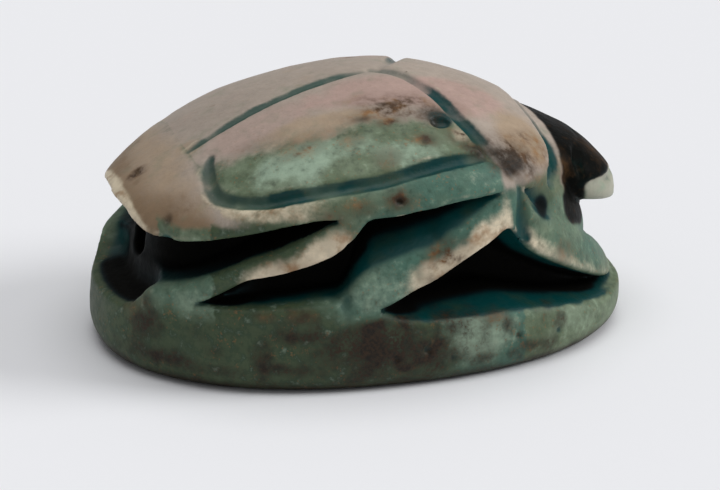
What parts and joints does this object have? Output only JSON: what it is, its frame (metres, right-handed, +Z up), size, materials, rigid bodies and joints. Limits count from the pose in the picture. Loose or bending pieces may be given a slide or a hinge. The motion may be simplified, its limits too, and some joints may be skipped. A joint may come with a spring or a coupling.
{
  "type": "scarab amulet",
  "caption": "Small carved and glazed beetle amulet on an oval plinth, with incised wing cases, legs in relief above undercut sides, and a lengthwise string hole.",
  "frame": {"origin": "centre of the flat underside", "axes": "+X towards the beetle's head, +Y towards its left side, +Z up through its back"},
  "size_m": [0.0186, 0.0136, 0.0089],
  "materials": {
    "glaze": "worn satin glaze, blue-green in the recesses, rubbed to a pinkish tan body on the back"
  },
  "bodies": {
    "root": {"scarab": "glaze"}
  },
  "joints": []
}
